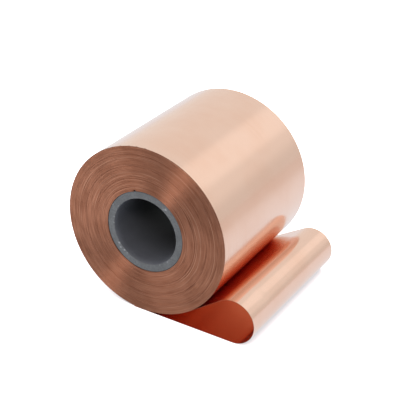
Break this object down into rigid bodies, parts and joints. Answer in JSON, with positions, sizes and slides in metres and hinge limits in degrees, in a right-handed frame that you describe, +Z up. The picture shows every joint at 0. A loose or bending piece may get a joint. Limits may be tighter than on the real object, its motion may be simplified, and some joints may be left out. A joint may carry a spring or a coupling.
{
  "type": "copper strip coil",
  "caption": "Coil of thin copper strip wound on a plastic core tube, lying on its side, with the free end looped forward and back under the coil.",
  "frame": {"origin": "the point on the floor under the coil's axis, halfway along the coil", "axes": "+Y along the coil's axis, +Z up, +X towards the loop of the free end"},
  "size_m": [0.2339, 0.187, 0.1933],
  "materials": {
    "copper": "bright rolled copper, satin",
    "core_plastic": "extruded grey plastic, sawn ends"
  },
  "bodies": {
    "root": {"copper_strip": "copper", "core_tube": "core_plastic"}
  },
  "joints": []
}
